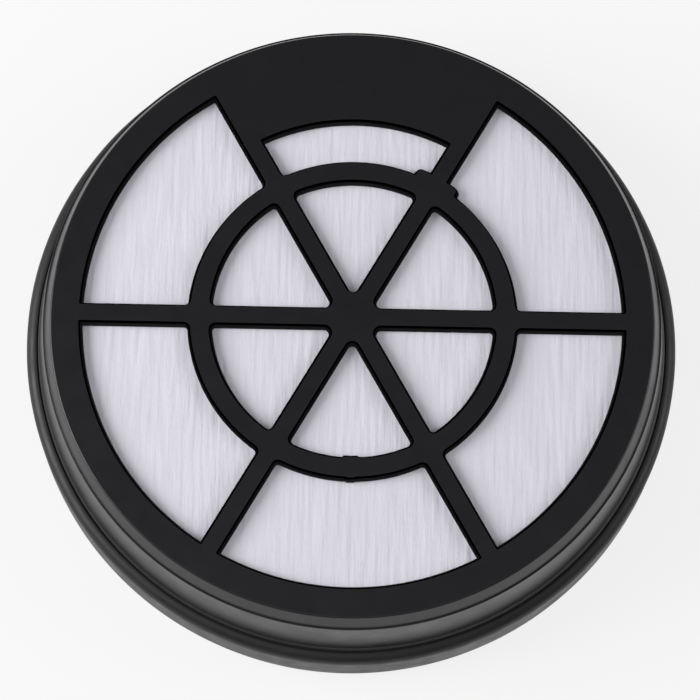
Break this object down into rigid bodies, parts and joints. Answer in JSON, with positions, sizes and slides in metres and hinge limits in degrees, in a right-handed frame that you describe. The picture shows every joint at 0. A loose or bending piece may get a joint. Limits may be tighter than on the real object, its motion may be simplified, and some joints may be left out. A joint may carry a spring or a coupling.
{
  "type": "vacuum motor filter",
  "caption": "Round motor filter with a black spoked grille, a white fleece over a pleated pack, a tapered side wall and a rubber seal round the foot.",
  "frame": {"origin": "centre of the seal's foot, on the plane it rests on", "axes": "+Z out of the grille face, +Y towards the closed sector of the grille, +X across"},
  "size_m": [0.14, 0.14, 0.031],
  "materials": {
    "frame_plastic": "satin",
    "fleece": "soft fleece",
    "filter_sheet": "folded fibre sheet",
    "glue": "smooth hot melt",
    "seal_rubber": "satin"
  },
  "bodies": {
    "root": {"grille_frame": "frame_plastic", "front_fleece": "fleece", "pleated_media": "filter_sheet", "potting_ring": "glue", "glue_thread_near": "glue", "glue_thread_middle": "glue", "glue_thread_far": "glue", "seal_ring": "seal_rubber"}
  },
  "joints": []
}
